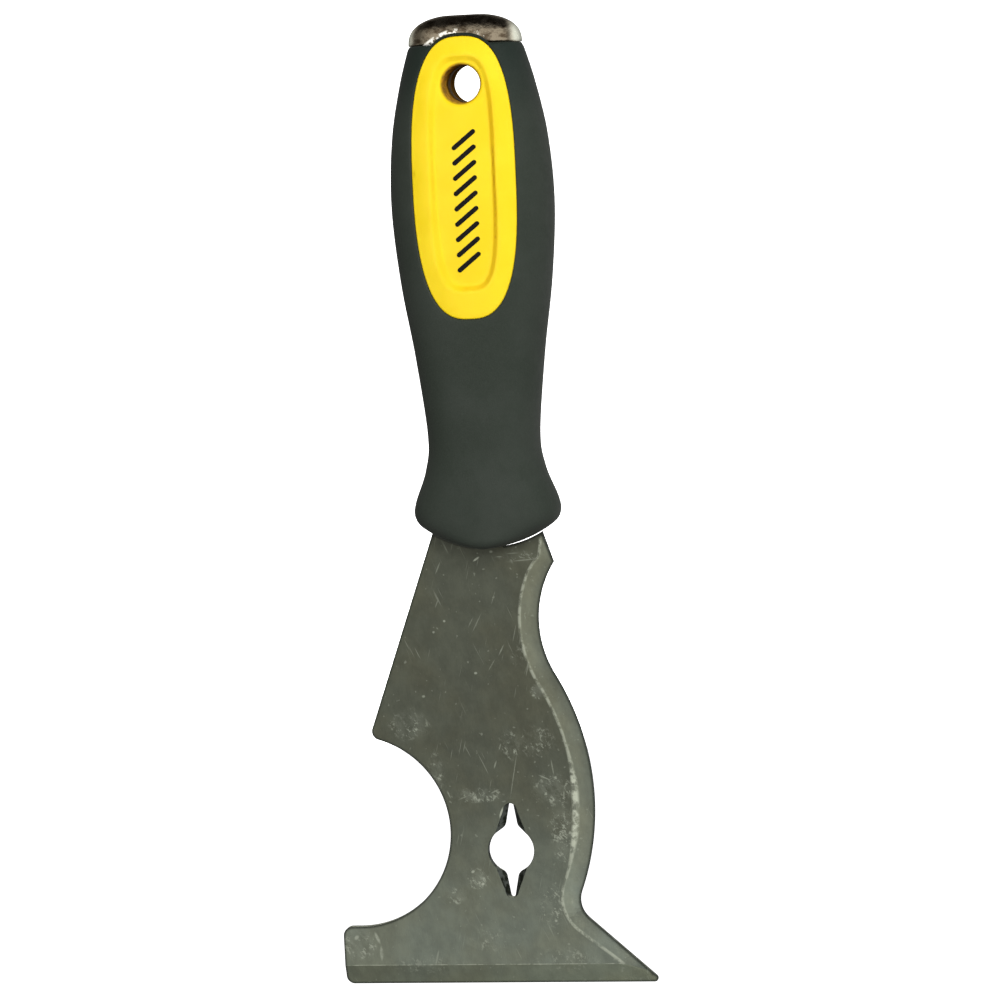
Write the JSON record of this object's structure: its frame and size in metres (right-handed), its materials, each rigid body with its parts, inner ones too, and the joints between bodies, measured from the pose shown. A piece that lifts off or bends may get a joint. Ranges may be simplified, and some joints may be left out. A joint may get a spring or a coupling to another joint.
{
  "type": "painters multi tool",
  "caption": "Hand tool for painters: a flat steel blade with scraping edge, point, roller notch and nail puller, in a soft two-colour grip with a metal striking cap.",
  "frame": {"origin": "centre of the hanging hole, in the mid plane of the tang", "axes": "+Z along the handle from the scraping edge towards the striking cap, +X across the blade towards its pointed end, -Y out of the face that carries the ground bevels"},
  "size_m": [0.0727, 0.0212, 0.2207],
  "materials": {
    "blade_steel": "satin, ground bevels, fine scratches",
    "core_yellow": "moulded, faint sheen",
    "grip_rubber": "soft satin rubber",
    "cap_chrome": "polished",
    "pin_steel": "drawn wire, plain"
  },
  "bodies": {
    "root": {"blade": "blade_steel", "core_front": "core_yellow", "core_rear": "core_yellow", "core_rivets": "pin_steel", "grip_sleeve": "grip_rubber", "hammer_cap": "cap_chrome", "cap_pin": "pin_steel"}
  },
  "joints": []
}
